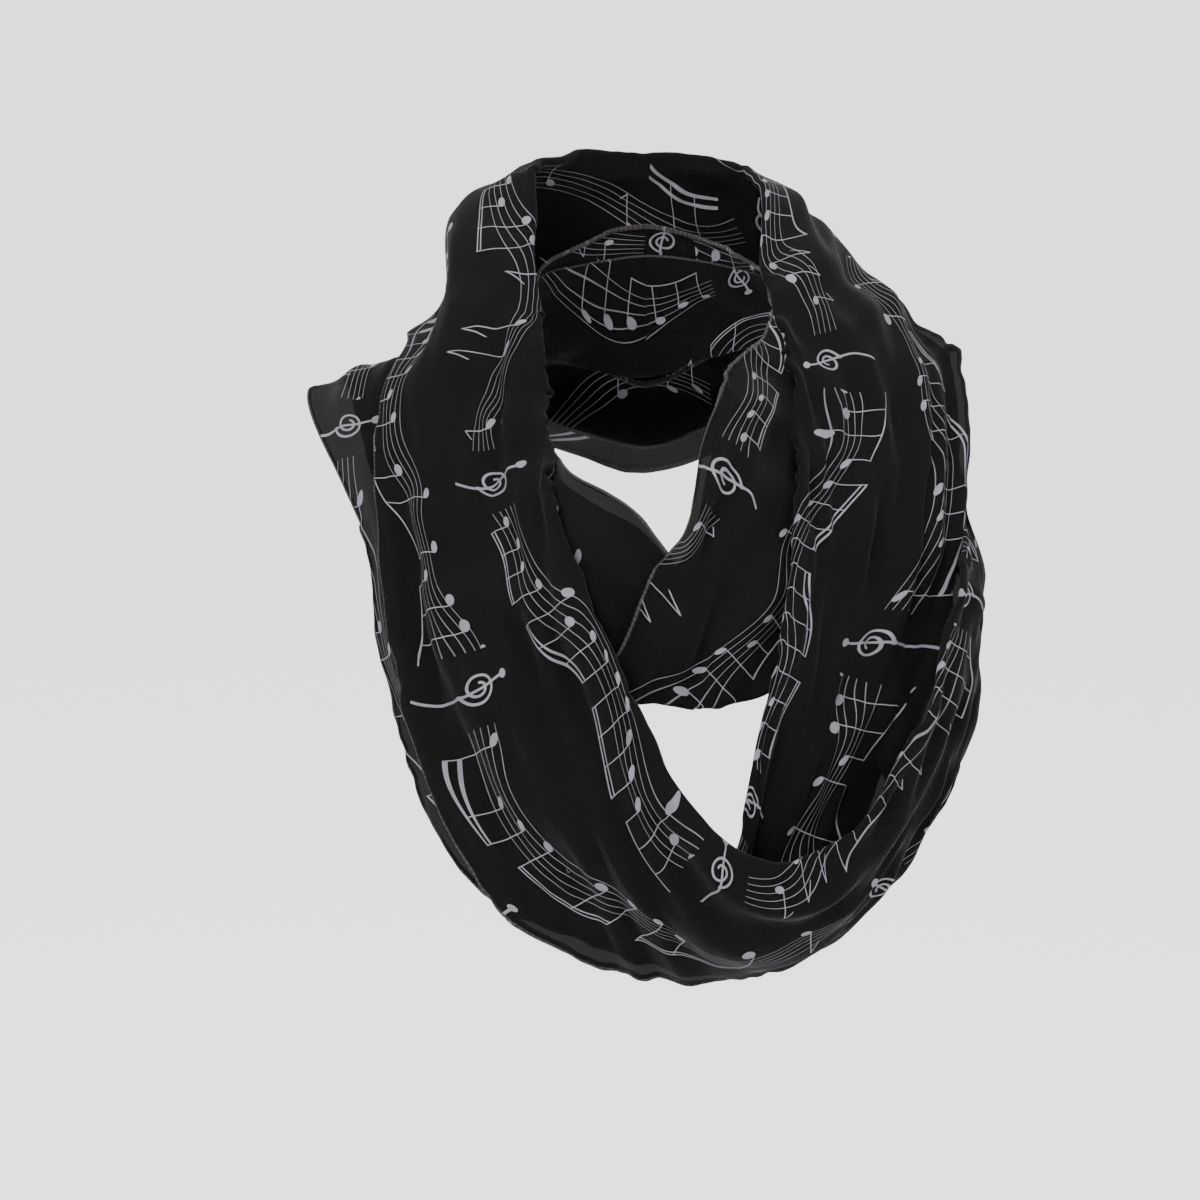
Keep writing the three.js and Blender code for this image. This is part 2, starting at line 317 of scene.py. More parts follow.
# Fine form of the voile
CRINKLE_WAVES = 16
CRINKLE_SEED = 11
CRINKLE_HEIGHT = 0.34
CRINKLE_LENGTHS = (12.0, 46.0)
CRINKLE_HEADING_SPREAD = 0.45
RIPPLE_REACH = 6.0
RIPPLE_LENGTHS = (17.0, 9.7, 29.0, 12.6)
RIPPLE_PHASE_STEP = 1.7
RIPPLE_SHARE = 2.4
RIPPLE_SWELL = 83.0
RIPPLE_SWELL_MEAN = 0.6
RIPPLE_SWELL_CHANGE = 0.4
CLOTH_THICKNESS = 0.35
REST_GAP = 1.0
ROLL_REACH = 7.0
SEAM_RIDGE = 0.8
SEAM_BREADTH = 2.5
SEAM_CALM = 14.0
SMALL_STEP = 0.01

# Mesh fineness
ROW_STEP = 2.2
COLUMNS_ACROSS = 62
ROLL_COLUMNS = 5
HEM_COLUMNS = 8
HEM_BACK_COLUMNS = 4
FOLD_BACK_COLUMNS = 24
INNER_BACK_COLUMNS = 22
TUCK_HEM_COLUMNS = 3
TUCK_BACK_COLUMNS = 14
LENGTH_SAMPLES = 2881
LENGTH_MARGIN = 5
NET_STEP = 6.0
NET_COLUMNS = 21
NET_EASINGS = 1000
NET_EASE_SHARE = 0.12
NET_STRAIGHTENING = 0.02
NET_EVENING_FIRST = 0.18
NET_EVENING_LAST = 0.04

# Print, in millimetres on the cloth
PRINT_REPEAT = 665.0
RUNS_IN_REPEAT = 3
ROW_PITCH = 56.0
ROW_START = 62.0
LINE_GAP = 4.1
LINE_WIDTH = 0.42
LINE_FAINTNESS = 0.74
ROW_SHIFT = 131.0
STAVE_HALF = 2.3
SPREAD_WAVE = 0.9
SPREAD_CHANGE = 0.2
SPREAD_MEAN = 0.84
CELLS_IN_RUN = 18
CELLS_IN_GAP = 2.6
NOTES_IN_GROUP = 4
PITCHES = 7.0
PITCH_MIDDLE = 3.0
NOTE_DROP = 3.0
STEM_RISE = 17.0
STEM_WIDTH = 0.48
BEAM_WIDTH = 0.8
HEAD_LENGTH = 2.8
HEAD_HEIGHT = 1.7
HEAD_TILT = 28.0
BEAM_SLOPE = 0.5
BEAM_SPACING = 2.6
FLAG_SLOPE = -1.2
FLAG_LENGTH = 4.0
RUN_LENGTH = PRINT_REPEAT / RUNS_IN_REPEAT
NOTE_CELL = RUN_LENGTH / CELLS_IN_RUN

# How the rows of print sway: how far each sway leans across the cloth, its waves in a repeat, its reach.
SWAYS = ((0.9, 3, 11.0), (-1.6, 7, 4.0))

# Random numbers from 0 to 1 above these give a group a beam, show a note and double the beam.
BEAM_ABOVE = 0.35
BEAMED_NOTE_ABOVE = 0.12
SINGLE_NOTE_ABOVE = 0.62
DOUBLE_BEAM_ABOVE = 0.4

# The spiral mark: its two arms, the bowed stroke through it and the dot at the stroke's end
SPIRAL_RISE = 1.5
SPIRAL_GROWTH = 3.2
SPIRAL_STARTS = (2.0, 5.2)
SPIRAL_HALF_WIDTH = 0.58
OUTER_ARM_END = 0.72
BOW_LENGTH = 44.0
BOW_START = 0.6
BOW_REACH = 2.4
STROKE_MIDDLE = 2.0
STROKE_HALF_LENGTH = 17.0
STROKE_HALF_WIDTH = 0.6
DOT_PLACE = (2.6, 15.5)
DOT_RADIUS_SQUARED = 4.4

# Finish of the voile. The thread is millimetres, and noise scales are waves in a metre.
THREAD = 0.42
WEAVE_SHARE = 0.4
CREPE_SCALE = 1100
CLOUD_SCALE = 14
BLOTCH_SCALE = 90
INK_CHANGE = 0.8
INK_LEAST = 0.42
HEM_LEAST = 0.6
STITCH_LENGTH = 2.4
GROUND_DARK = (0.0012, 0.0013, 0.0012, 1)
GROUND_LIGHT = (0.0028, 0.0029, 0.0027, 1)
PRINT_COLOUR = (0.140, 0.134, 0.152, 1)
HEM_COLOUR = (0.030, 0.027, 0.027, 1)
SHEEN_COLOUR = (0.55, 0.56, 0.6, 1)

# The turns, as angles from start to end. The outer one goes round twice, and its two pieces meet behind
# the right side of the neck.
OUTER_START = 252
OVER_START = 600
OUTER_END = 972
OUTER_PERIOD = 720
INNER_RANGE = (-180, 180)
TUCK_RANGE = (-50, 5)

# Picture
PHOTO_PIXELS = 1200
PIXEL_SIZE = 0.465
CAMERA_DISTANCE = 1.6
CAMERA_LOOKS_DOWN = 14
CAMERA_AIM = (-0.02325, -0.08, -0.09986)
FLOOR_SIZE = 60
FLOOR_HEIGHT = -1.4


def columns(names, rows):
    """A table as one array for each named column."""
    return dict(zip(names, np.array(rows, float).T))


class Turn:
    """A closed turn of the cloth, with or without a seam where it ends, or an open piece with no period."""

    def __init__(self, sections, folds, creases, edges, start, end, period, seamed):
        self.sections = columns(SECTION_COLUMNS, sections)
        self.folds = folds
        self.creases = creases
        self.edges = columns(EDGE_COLUMNS, edges)
        self.start = start
        self.end = end
        self.period = period
        self.seamed = seamed
        self.measure_length()
        self.lay_flat()

    def closed_rows(self, table, name):
        """A column with rows repeated past both ends of a closed turn."""
        values = table[name]
        shift = self.period if name == "turned" else 0
        if self.period:
            return np.concatenate([values[-2:] - shift, values, values[:3] + shift])
        return values

    def wrapped(self, table, turned):
        """The angle brought into the range of a closed turn's table."""
        start = table["turned"][0]
        return start + np.mod(turned - start, self.period) if self.period else turned

    def section(self, name, turned):
        """A smooth curve through the rows of one column."""
        at = self.closed_rows(self.sections, "turned")
        values = self.closed_rows(self.sections, name)
        angle = self.wrapped(self.sections, turned)
        slopes = np.empty_like(values)
        slopes[1:-1] = (values[2:] - values[:-2]) / (at[2:] - at[:-2])
        slopes[0] = (values[1] - values[0]) / (at[1] - at[0])
        slopes[-1] = (values[-1] - values[-2]) / (at[-1] - at[-2])
        i = np.clip(np.searchsorted(at, angle, side="right") - 1, 0, len(at) - 2)
        span = at[i + 1] - at[i]
        t = (angle - at[i]) / span
        rise = values[i] + (values[i + 1] - values[i]) * t * t * (3 - 2 * t)
        leave = t * (1 - t) ** 2 * span * slopes[i]
        arrive = t * t * (t - 1) * span * slopes[i + 1]
        return rise + leave + arrive

    def edge(self, name, turned):
        """A value of the edge table, eased from row to row."""
        at = self.closed_rows(self.edges, "turned")
        values = self.closed_rows(self.edges, name)
        row = np.interp(self.wrapped(self.edges, turned), at, np.arange(len(at)))
        before = np.minimum(row.astype(int), len(at) - 2)
        share = row - before
        return values[before] + (values[before + 1] - values[before]) * share * share * (3 - 2 * share)

    def measure_length(self):
        """How far along the middle of the cloth each angle is."""
        self.length_angles = np.linspace(self.start - LENGTH_MARGIN, self.end + LENGTH_MARGIN, LENGTH_SAMPLES)
        middle = self.place(self.length_angles, 0.5, 0.0)
        steps = np.linalg.norm(np.diff(middle, axis=0), axis=1)
        self.lengths = np.concatenate([[0.0], np.cumsum(steps)])
        self.lengths -= np.interp(self.start, self.length_angles, self.lengths)
        self.full_length = float(np.interp(self.end, self.length_angles, self.lengths))

    def length(self, turned):
        """Millimetres along the middle of the cloth from its start."""
        return np.interp(turned, self.length_angles, self.lengths)

    def angle_at(self, length):
        """The angle that lies that far along the middle of the cloth."""
        return np.interp(length, self.lengths, self.length_angles)

    def width(self, turned):
        """Millimetres from the top edge to the low edge."""
        run = self.section("low_out", turned) - self.section("top_out", turned)
        drop = self.section("low_up", turned) - self.section("top_up", turned)
        return np.hypot(run, drop)

    def relief(self, turned, across, width):
        """How far folds and creases lift the cloth."""
        height = self.section("arch", turned) * np.sin(math.pi * across)
        for rows, unit_width in ((self.folds, 1.0), (self.creases, width)):
            for row in rows:
                fold = dict(zip(FOLD_COLUMNS, row))
                along = np.mod(turned - fold["start"], self.period or 360) / (fold["end"] - fold["start"])
                place = fold["start_place"] + (fold["end_place"] - fold["start_place"]) * along
                beside = (across - place) / fold["breadth"] * unit_width
                fade = np.where(along < 1, np.sin(math.pi * along) ** 2, 0)
                height = height + fold["height"] * fade * np.exp(-beside * beside)
        return height

    def whole_waves(self, length):
        """Waves for each millimetre along, as a whole number of them round a closed turn."""
        return round(self.full_length / length) / self.full_length if self.period else 1 / length

    def crinkle(self, turned, across, width):
        """Small uneven waves all over, ripples that die out from the edges, and the seam's low ridge."""
        along = self.length(turned)
        down = across * width
        draw = np.random.default_rng(CRINKLE_SEED)
        height = np.zeros(np.broadcast(turned, across).shape)
        for _ in range(CRINKLE_WAVES):
            length = draw.uniform(*CRINKLE_LENGTHS)
            heading = draw.normal(math.pi / 2, CRINKLE_HEADING_SPREAD)
            start = draw.uniform(0, 2 * math.pi)
            waves = along * self.whole_waves(length / math.cos(heading)) + down * math.sin(heading) / length
            height = height + np.sin(2 * math.pi * waves + start) * length / CRINKLE_LENGTHS[1]
        height = height * CRINKLE_HEIGHT * 2
        ripple = sum(
            np.sin(2 * math.pi * along * self.whole_waves(step) + RIPPLE_PHASE_STEP * i)
            for i, step in enumerate(RIPPLE_LENGTHS)
        )
        swell = np.sin(2 * math.pi * along * self.whole_waves(RIPPLE_SWELL))
        ripple = ripple / RIPPLE_SHARE * (RIPPLE_SWELL_MEAN + RIPPLE_SWELL_CHANGE * swell)
        for name, from_edge in (("top_ripple", down), ("low_ripple", width - down)):
            height = height + ripple * self.edge(name, turned) * np.exp(-np.abs(from_edge) / RIPPLE_REACH)
        if not self.seamed:
            return height
        from_seam = np.minimum(along, self.full_length - along)
        calm = 1 - np.exp(-((from_seam / SEAM_CALM) ** 2))
        return height * calm + SEAM_RIDGE * np.exp(-((from_seam / SEAM_BREADTH) ** 2))

    def place(self, turned, across, lift):
        """A point at a place across the cloth, lifted out of it."""
        top_out = self.section("top_out", turned)
        top_up = self.section("top_up", turned)
        low_out = self.section("low_out", turned)
        low_up = self.section("low_up", turned)
        width = np.hypot(low_out - top_out, low_up - top_up)
        out = top_out + (low_out - top_out) * across + lift * (top_up - low_up) / width
        up = top_up + (low_up - top_up) * across + lift * (low_out - top_out) / width
        angle = np.radians(turned)
        return np.stack([out * np.sin(angle), -out * np.cos(angle), up + 0 * out], axis=-1)

    def point(self, turned, across):
        """A point of the cloth's middle surface."""
        width = self.width(turned)
        lift = self.relief(turned, across, width) + self.crinkle(turned, across, width)
        return self.place(turned, across, lift)

    def normal(self, turned, across):
        """The direction straight out of the cloth, away from the neck."""
        along = self.point(turned + SMALL_STEP, across) - self.point(turned - SMALL_STEP, across)
        down = self.point(turned, across + SMALL_STEP) - self.point(turned, across - SMALL_STEP)
        return unit(np.cross(down, along))

    def lay_flat(self):
        """Eases a coarse net of the cloth until its threads have their true lengths when laid flat."""
        rows = int(self.full_length / NET_STEP) + 2
        self.net_angles = self.angle_at(np.linspace(0, self.full_length, rows))
        across = np.linspace(0, 1, NET_COLUMNS)
        turned = self.net_angles[:, None]
        width = self.width(turned)
        worn = self.place(turned, across, self.relief(turned, across, width))
        ahead = self.place(turned + SMALL_STEP, 0.5, 0.0) - self.place(turned - SMALL_STEP, 0.5, 0.0)
        down = self.place(turned, 1.0, 0.0) - self.place(turned, 0.0, 0.0)
        slant = np.sum(unit(ahead) * unit(down), axis=-1)
        from_middle = (across - 0.5) * width
        net_along = self.length(turned) + from_middle * slant
        net = np.stack([net_along, from_middle * np.sqrt(1 - slant * slant)], axis=-1)
        middle = NET_COLUMNS // 2
        for easing in range(NET_EASINGS):
            moves = np.zeros_like(net)
            for rows_on, columns_on in ((1, 0), (0, 1), (1, 1), (1, -1)):
                first = np.s_[: rows - rows_on, max(0, -columns_on) : NET_COLUMNS - max(0, columns_on)]
                second = np.s_[rows_on:, max(0, columns_on) : NET_COLUMNS + min(0, columns_on)]
                thread = net[second] - net[first]
                flat_length = np.linalg.norm(thread, axis=-1, keepdims=True)
                true_length = np.linalg.norm(worn[second] - worn[first], axis=-1, keepdims=True)
                pull = thread * (flat_length - true_length) / flat_length
                moves[first] += pull
                moves[second] -= pull
            net += moves * NET_EASE_SHARE
            uneven = np.zeros_like(net)
            uneven[1:-1] += net[2:] + net[:-2] - 2 * net[1:-1]
            uneven[:, 1:-1] += net[:, 2:] + net[:, :-2] - 2 * net[:, 1:-1]
            net += uneven * np.interp(easing, (0, NET_EASINGS), (NET_EVENING_FIRST, NET_EVENING_LAST))
            net[:, :, 1] -= net[:, middle, 1][:, None] * NET_STRAIGHTENING
            if self.period and not self.seamed:
                joined = (net[0] + net[-1]) / 2
                net[0] = joined - (self.full_length / 2, 0)
                net[-1] = joined + (self.full_length / 2, 0)
        self.net = net

    def print_scale(self):
        """Stretches the print a little so that a turn with no seam holds whole repeats of it."""
        if self.seamed or not self.period:
            return 1.0
        return round(self.full_length / PRINT_REPEAT) * PRINT_REPEAT / self.full_length

    def flat(self, turned, across):
        """Where points lie on the flat cloth."""
        column = np.clip(across, 0, 1) * (NET_COLUMNS - 1)
        left = np.minimum(column.astype(int), NET_COLUMNS - 2)
        share = column - left
        axes = []
        for axis in range(2):
            threads = self.net[:, :, axis].T
            by_column = np.stack([np.interp(turned, self.net_angles, thread) for thread in threads], axis=-1)
            near = np.take_along_axis(by_column, left, axis=-1)
            far = np.take_along_axis(by_column, left + 1, axis=-1)
            axes.append(near + (far - near) * share)
        return np.stack(axes, axis=-1)


def unit(vectors):
    """The same vectors, one long."""
    return vectors / np.linalg.norm(vectors, axis=-1, keepdims=True)


def turned_edge(turn, turned, side, back_columns):
    """Columns of points that go round one edge of the cloth and lie back behind it."""
    at_edge = 0.0 if side == "top" else 1.0
    inward = 1.0 if side == "top" else -1.0
    radius = turn.edge(side + "_radius", turned)
    width = turn.width(turned)
    back = turn.edge(side + "_back", turned) * width
    edge_place = at_edge + 0 * turned
    edge_point = turn.point(turned, edge_place)
    normal = turn.normal(turned, edge_place)
    step = turn.point(turned, edge_place + inward * SMALL_STEP) - edge_point
    beyond = -unit(step - np.sum(step * normal, axis=-1, keepdims=True) * normal)
    edge_flat = turn.flat(turned, edge_place[:, None])[:, 0]
    outward = np.array((0.0, -inward))
    points = []
    flat = []
    for i in range(1, ROLL_COLUMNS + 1):
        bend = math.pi * i / ROLL_COLUMNS
        swing = normal * (math.cos(bend) - 1) + beyond * math.sin(bend)
        points.append(edge_point + radius[:, None] * swing)
        flat.append(edge_flat + outward * (radius * bend)[:, None])
    for i in range(1, back_columns + 1):
        run = back * i / back_columns
        across = edge_place + inward * run / width
        rest = np.minimum(REST_GAP, 2 * radius)
        depth = rest + (2 * radius - rest) * np.exp(-run / ROLL_REACH)
        points.append(turn.point(turned, across) - depth[:, None] * turn.normal(turned, across))
        in_front = turn.flat(turned, across[:, None])[:, 0]
        mirrored = in_front + (edge_flat - in_front) * (0, 2)
        flat.append(mirrored + outward * (radius * math.pi)[:, None])
    points = np.stack(points, axis=1)
    flat = np.stack(flat, axis=1)
    if side == "top":
        return points[:, ::-1], flat[:, ::-1]
    return points, flat


def stretch_rows(turn, start, end):
    """Angles evenly spaced along the cloth, one for each row of the mesh."""
    from_length, to_length = turn.length(start), turn.length(end)
    rows = int((to_length - from_length) / ROW_STEP) + 2
    return turn.angle_at(np.linspace(from_length, to_length, rows))


def turn_mesh(name, turn, start, end, top_columns, low_columns):
    """A stretch of a turn with its two edges turned back."""
    turned = stretch_rows(turn, start, end)
    top_points, top_flat = turned_edge(turn, turned, "top", top_columns)
    low_points, low_flat = turned_edge(turn, turned, "low", low_columns)
    across = np.repeat(np.linspace(0, 1, COLUMNS_ACROSS + 1)[None, :], len(turned), axis=0)
    points = np.concatenate([top_points, turn.point(turned[:, None], across), low_points], axis=1)
    flat = np.concatenate([top_flat, turn.flat(turned, across), low_flat], axis=1)
    hem = np.zeros(points.shape[1])
    hem[: ROLL_COLUMNS + top_columns + 1 if top_columns < HEM_COLUMNS else 1] = 1
    hem[-(ROLL_COLUMNS + low_columns + 1) if low_columns < HEM_COLUMNS else -1 :] = 1
    return cloth_mesh(name, points, flat * (turn.print_scale(), 1), hem)


def link_mesh(name, turn):
    """The cloth between the two folds at the left shoulder, from under the high one to inside the low one."""
    turned = stretch_rows(turn, LINK_START, LINK_END)
    places = columns(LINK_COLUMNS, LINK_PLACES)
    high_place = np.interp(turned, places["turned"], places["high_place"])
    low_place = np.interp(turned, places["turned"], places["low_place"])
    high_side = (turned, high_place, LINK_HIGH_DEPTH)
    low_side = (turned - 360, low_place, LINK_LOW_DEPTH)
    ends = []
    for angles, place, depth in (high_side, low_side):
        down = unit(turn.point(angles, place + SMALL_STEP) - turn.point(angles, place))
        ends.append((turn.point(angles, place) - depth * turn.normal(angles, place), down))
    (high, leave), (low, arrive) = ends
    reach = np.linalg.norm(low - high, axis=-1, keepdims=True)
    share = np.linspace(0, 1, LINK_COLUMNS_ACROSS + 1)[None, :, None]
    rise = share * share * (3 - 2 * share)
    points = high[:, None] + (low - high)[:, None] * rise
    points = points + (leave * reach)[:, None] * share * (1 - share) ** 2
    points = points + (arrive * reach)[:, None] * share * share * (share - 1)
    along = turn.length(turned)[:, None]
    across = share[:, :, 0]
    lift = sum(
        height * np.sin(2 * math.pi * (across * ridges + along / length))
        for ridges, length, height in LINK_FOLDS
    )
    facing = unit(np.cross(np.gradient(points, axis=1), np.gradient(points, axis=0)))
    points = points + facing * (lift * np.sin(math.pi * across))[:, :, None]
    flat = turn.flat(turned, high_place[:, None]) + np.stack([0 * across * reach, across * reach], axis=-1)
    return cloth_mesh(name, points, flat * (turn.print_scale(), 1), np.zeros(points.shape[1]))


def cloth_mesh(name, points, flat, hem):
    """A grid of cloth as a thin shell. The UV map 'cloth' holds its place on the flat cloth, and the
    attribute 'hem' is 1 on the columns that are hem."""
    rows, count = points.shape[:2]
    grid = points * MM
    flat = flat * MM
    index = np.arange(rows * count).reshape(rows, count)
    corners = (index[:-1, :-1], index[:-1, 1:], index[1:, 1:], index[1:, :-1])
    faces = np.stack([c.ravel() for c in corners], axis=1)
    mesh = bpy.data.meshes.new(name)
    mesh.from_pydata(grid.reshape(-1, 3).tolist(), [], faces.tolist())
    layer = mesh.uv_layers.new(name="cloth")
    layer.data.foreach_set("uv", flat.reshape(-1, 2)[faces.ravel()].ravel().astype(np.float32))
    on_hem = mesh.attributes.new("hem", "FLOAT", "POINT")
    on_hem.data.foreach_set("value", np.tile(hem, rows).astype(np.float32))
    mesh.polygons.foreach_set("use_smooth", [True] * len(faces))
    piece = bpy.data.objects.new(name, mesh)
    bpy.context.collection.objects.link(piece)
    shell = piece.modifiers.new("shell", "SOLIDIFY")
    shell.thickness = CLOTH_THICKNESS * MM
    shell.offset = 0
    bpy.ops.object.select_all(action="DESELECT")
    bpy.context.view_layer.objects.active = piece
    piece.select_set(True)
    bpy.ops.object.modifier_apply(modifier=shell.name)
    return piece


class Field:
    """A number that varies over the cloth, worked out by shader nodes."""

    def __init__(self, tree, socket):
        self.tree = tree
        self.socket = socket

    def maths(self, operation, *others):
        node = self.tree.nodes.new("ShaderNodeMath")
        node.operation = operation
        for i, value in enumerate((self, *others)):
            if isinstance(value, Field):
                self.tree.links.new(value.socket, node.inputs[i])
            else:
                node.inputs[i].default_value = value
        return Field(self.tree, node.outputs[0])

    def __add__(self, other):
        return self.maths("ADD", other)

    def __sub__(self, other):
        return self.maths("SUBTRACT", other)

    def __mul__(self, other):
        return self.maths("MULTIPLY", other)

    def __truediv__(self, other):
        return self.maths("DIVIDE", other)

    def __lt__(self, other):
        return self.maths("LESS_THAN", other)

    def __gt__(self, other):
        return self.maths("GREATER_THAN", other)

    def __and__(self, other):
        return self.maths("MULTIPLY", other)

    def __or__(self, other):
        return self.maths("MAXIMUM", other)

    def floor(self):
        return self.maths("FLOOR")

    def fract(self):
        return self.maths("FRACT")

    def size(self):
        return self.maths("ABSOLUTE")

    def sine(self):
        return self.maths("SINE")

    def root(self):
        return self.maths("SQRT")


def wave(field, length, start=0.0):
    """A sine wave of that length."""
    return (field * (2 * math.pi / length) + start).sine()


def random_values(tree, *fields):
    """Three random numbers from 0 to 1 for each whole-number place."""
    place = tree.nodes.new("ShaderNodeCombineXYZ")
    for i, field in enumerate(fields):
        tree.links.new(field.socket, place.inputs[i])
    noise = tree.nodes.new("ShaderNodeTexWhiteNoise")
    noise.noise_dimensions = "3D"
    tree.links.new(place.outputs[0], noise.inputs["Vector"])
    parts = tree.nodes.new("ShaderNodeSeparateColor")
    tree.links.new(noise.outputs["Color"], parts.inputs[0])
    return [Field(tree, parts.outputs[i]) for i in range(3)]


def staves(x, y):
    """Five lines that draw together and spread again."""
    spread = wave(x, RUN_LENGTH * SPREAD_WAVE) * SPREAD_CHANGE + SPREAD_MEAN
    scaled = y / spread
    nearest = ((scaled / LINE_GAP + 0.5).fract() - 0.5).size() * LINE_GAP
    return (nearest < LINE_WIDTH / 2) & (scaled.size() < LINE_GAP * STAVE_HALF)


def notes(tree, x, y, row, run):
    """Note heads with stems, most of them joined in fours by beams."""
    cell = (x / NOTE_CELL).floor()
    beside = x - (cell + 0.5) * NOTE_CELL
    pitch, chance, _ = random_values(tree, cell, row, run)
    group = (cell / NOTES_IN_GROUP).floor()
    kind, tilt, doubled = random_values(tree, group + 0.5, row, run)
    beamed = kind > BEAM_ABOVE
    shown = (beamed & (chance > BEAMED_NOTE_ABOVE)) | (chance > SINGLE_NOTE_ABOVE)
    height = ((pitch * PITCHES).floor() - PITCH_MIDDLE) * (LINE_GAP / 2) - NOTE_DROP
    rise = y - height
    cosine = math.cos(math.radians(HEAD_TILT))
    sine = math.sin(math.radians(HEAD_TILT))
    long_way = (beside * cosine + rise * sine) / HEAD_LENGTH
    short_way = (rise * cosine - beside * sine) / HEAD_HEIGHT
    head = (long_way * long_way + short_way * short_way) < 1.0
    stem_side = HEAD_LENGTH * cosine - STEM_WIDTH / 2
    in_group = x - group * (NOTES_IN_GROUP * NOTE_CELL)
    middle = NOTES_IN_GROUP * NOTE_CELL / 2
    beam_height = (in_group - middle) * (tilt - 0.5) * BEAM_SLOPE + STEM_RISE
    stem_top = beam_height * beamed + (height + STEM_RISE) * (beamed * -1.0 + 1.0)
    stem = ((beside - stem_side).size() < STEM_WIDTH / 2) & (rise > 0.0) & (y < stem_top)
    first = NOTE_CELL / 2 + stem_side - STEM_WIDTH / 2
    last = first + (NOTES_IN_GROUP - 1) * NOTE_CELL + STEM_WIDTH
    under_beam = (in_group > first) & (in_group < last)
    beam = (y - beam_height).size() < BEAM_WIDTH / 2
    second = (y - beam_height + BEAM_WIDTH * BEAM_SPACING).size() < BEAM_WIDTH / 2
    second = second & (doubled > DOUBLE_BEAM_ABOVE)
    flag_run = beside - stem_side
    flag = (rise - (flag_run * FLAG_SLOPE + STEM_RISE)).size() < BEAM_WIDTH / 2
    flag = flag & (flag_run > 0.0) & (flag_run < FLAG_LENGTH) & (beamed < 0.5)
    return ((head | stem | flag) & shown) | ((beam | second) & under_beam & beamed)


def flourish(x, y, middle):
    """A spiral with a curved stroke through it, between two runs of notes."""
    beside = x - middle
    raised = y + SPIRAL_RISE
    distance = (beside * beside + raised * raised).root()
    around = raised.maths("ARCTAN2", beside) / (2 * math.pi) + 0.5
    inner_arm, outer_arm = (
        (distance - (around * SPIRAL_GROWTH + start)).size() < SPIRAL_HALF_WIDTH for start in SPIRAL_STARTS
    )
    outer_arm = outer_arm & (around < OUTER_ARM_END)
    bow = wave(y, BOW_LENGTH, BOW_START) * BOW_REACH
    stroke = (beside - bow).size() < STROKE_HALF_WIDTH
    stroke = stroke & ((y - STROKE_MIDDLE).size() < STROKE_HALF_LENGTH)
    dot_beside = beside + DOT_PLACE[0]
    dot_raised = y + DOT_PLACE[1]
    dot = (dot_beside * dot_beside + dot_raised * dot_raised) < DOT_RADIUS_SQUARED
    return inner_arm | outer_arm | stroke | dot


def print_mask(tree, along, down):
    """Where the cloth is printed: rows of wavy staves with notes, shifted from row to row."""
    first, second = (
        wave(along + down * lean, PRINT_REPEAT / waves) * reach for lean, waves, reach in SWAYS
    )
    level = down + (first + second) + ROW_START
    row = (level / ROW_PITCH).floor()
    y = level - (row + 0.5) * ROW_PITCH
    shifted = along + row * ROW_SHIFT
    count = (shifted / RUN_LENGTH).floor()
    x = shifted - count * RUN_LENGTH
    run = count.maths("FLOORED_MODULO", float(RUNS_IN_REPEAT))
    gap = CELLS_IN_GAP * NOTE_CELL
    in_run = x < RUN_LENGTH - gap
    marks = (staves(x, y) * LINE_FAINTNESS | notes(tree, x, y, row, run)) & in_run
    sign = flourish(x, y, RUN_LENGTH - gap / 2) & (in_run < 0.5)
    return marks | sign


def noise(tree, vector, scale, detail):
    """Soft noise, read at a place on the flat cloth."""
    node = tree.nodes.new("ShaderNodeTexNoise")
    node.inputs["Scale"].default_value = scale
    node.inputs["Detail"].default_value = detail
    tree.links.new(vector, node.inputs["Vector"])
    return Field(tree, node.outputs[0])


def mixed_colour(tree, share, first, second):
    """The first colour where the share is 0 and the second where it is 1. The first may be a socket."""
    node = tree.nodes.new("ShaderNodeMix")
    node.data_type = "RGBA"
    if isinstance(first, tuple):
        node.inputs[6].default_value = first
    else:
        tree.links.new(first, node.inputs[6])
    node.inputs[7].default_value = second
    tree.links.new(share.socket, node.inputs[0])
    return node.outputs[2]


